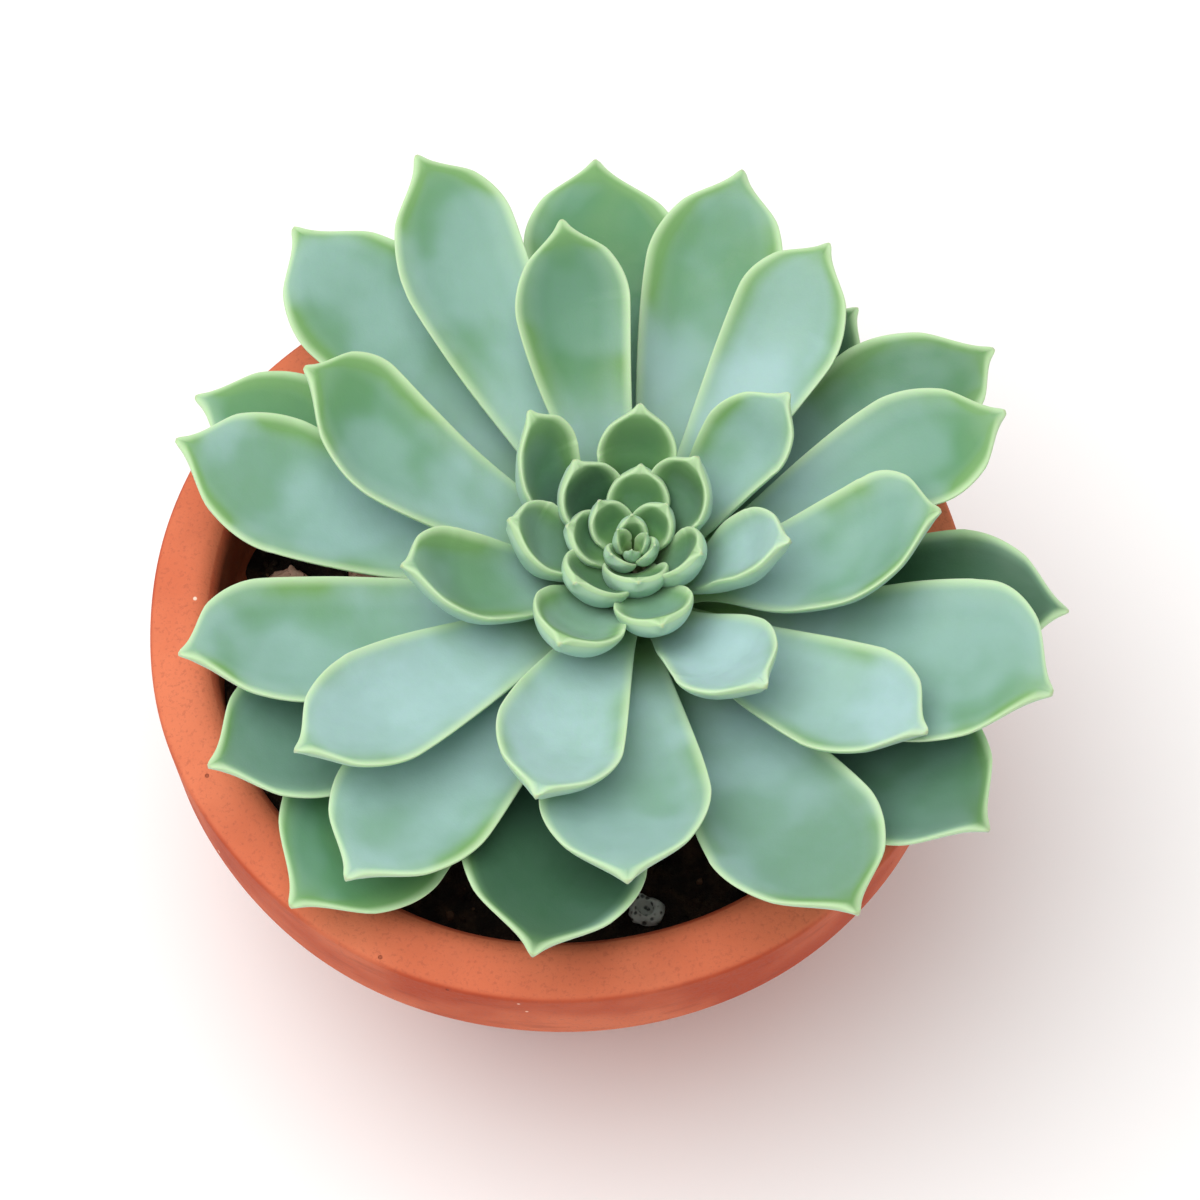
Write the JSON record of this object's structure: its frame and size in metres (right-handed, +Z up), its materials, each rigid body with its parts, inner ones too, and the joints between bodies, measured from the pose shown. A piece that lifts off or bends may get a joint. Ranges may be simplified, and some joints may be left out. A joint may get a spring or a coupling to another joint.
{
  "type": "potted succulent",
  "caption": "Rosette succulent with fleshy pointed leaves, rooted in potting mix in a shallow clay pot with a thick rounded rim.",
  "frame": {"origin": "middle of the pot's underside, on the surface that the pot stands on", "axes": "+Z up along the pot's axis; -Y is the front; the rosette's axis stands beside the pot's axis, towards +X and +Y"},
  "size_m": [0.1112, 0.1094, 0.0755],
  "materials": {
    "terracotta": "matte unglazed clay with fine pits and pale specks",
    "potting_mix": "dark crumbly peat and bark mix",
    "stem": "dull green-brown",
    "leaf": "satin with a pale waxy bloom and yellow-green margins",
    "bark": "rough",
    "pumice": "rough and open"
  },
  "bodies": {
    "root": {"pot": "terracotta", "soil": "potting_mix", "stem": "stem", "leaf_01": "leaf", "leaf_02": "leaf", "leaf_03": "leaf", "leaf_04": "leaf", "leaf_05": "leaf", "leaf_06": "leaf", "leaf_07": "leaf", "leaf_08": "leaf", "leaf_09": "leaf", "leaf_10": "leaf", "leaf_11": "leaf", "leaf_12": "leaf", "leaf_13": "leaf", "leaf_14": "leaf", "leaf_15": "leaf", "leaf_16": "leaf", "leaf_17": "leaf", "leaf_18": "leaf", "leaf_19": "leaf", "leaf_20": "leaf", "leaf_21": "leaf", "leaf_22": "leaf", "leaf_23": "leaf", "leaf_24": "leaf", "leaf_25": "leaf", "leaf_26": "leaf", "leaf_27": "leaf", "leaf_28": "leaf", "leaf_29": "leaf", "leaf_30": "leaf", "leaf_31": "leaf", "leaf_32": "leaf", "leaf_33": "leaf", "leaf_34": "leaf", "leaf_35": "leaf", "leaf_36": "leaf", "leaf_37": "leaf", "leaf_38": "leaf", "leaf_39": "leaf", "leaf_40": "leaf", "leaf_41": "leaf", "leaf_42": "leaf", "leaf_43": "leaf", "leaf_44": "leaf", "leaf_45": "leaf", "leaf_46": "leaf", "leaf_47": "leaf", "leaf_48": "leaf", "leaf_49": "leaf", "leaf_50": "leaf", "bark_chip_01": "bark", "bark_chip_02": "bark", "bark_chip_03": "bark", "bark_chip_04": "bark", "pumice_bit": "pumice"}
  },
  "joints": []
}
